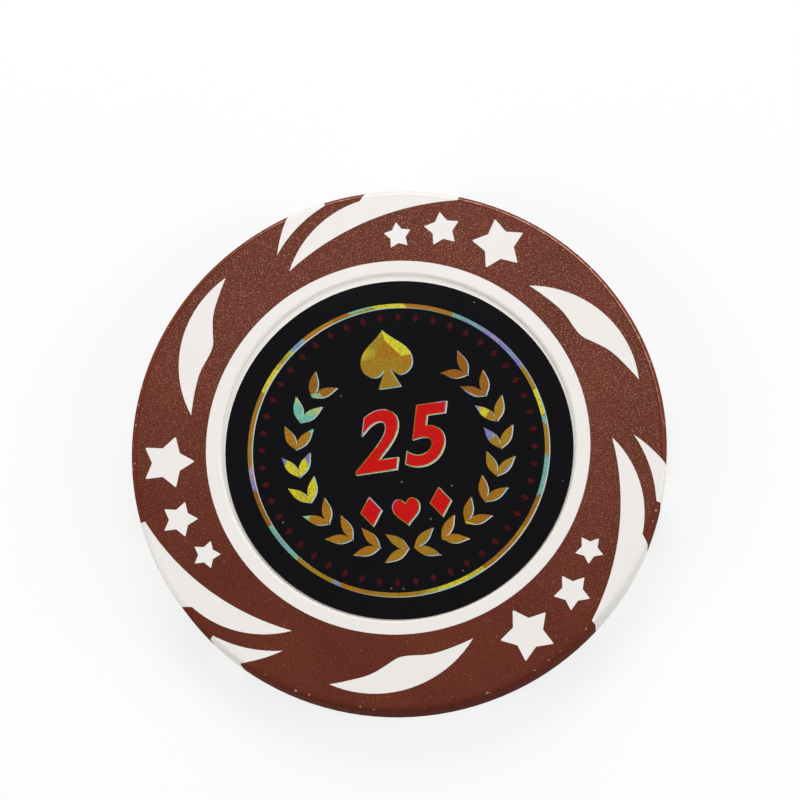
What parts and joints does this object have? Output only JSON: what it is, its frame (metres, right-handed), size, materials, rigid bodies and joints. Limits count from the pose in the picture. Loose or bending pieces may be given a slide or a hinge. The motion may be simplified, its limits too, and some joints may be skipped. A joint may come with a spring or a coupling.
{
  "type": "poker chip",
  "caption": "Round two-colour moulded poker chip with a rounded rim, white star and swoosh inlays, a steel slug inside and a printed label in a shallow recess on each face.",
  "frame": {"origin": "centre of the rear face, on the chip's axis, where the chip rests", "axes": "+Z along the chip's axis out of the front face, +Y towards the top of the front label"},
  "size_m": [0.04, 0.04, 0.0033],
  "materials": {
    "slug_steel": "punched, tumbled mild steel",
    "white_plastic": "smooth moulded, low sheen",
    "brown_plastic": "fine spark texture on the faces, smoother rim",
    "label_film": "gloss black film with hot-stamped foil and red print",
    "label_adhesive": "clear pressure-sensitive adhesive"
  },
  "bodies": {
    "root": {"steel_slug": "slug_steel", "white_core": "white_plastic", "brown_body": "brown_plastic", "front_adhesive": "label_adhesive", "front_label": "label_film", "rear_adhesive": "label_adhesive", "rear_label": "label_film"}
  },
  "joints": []
}
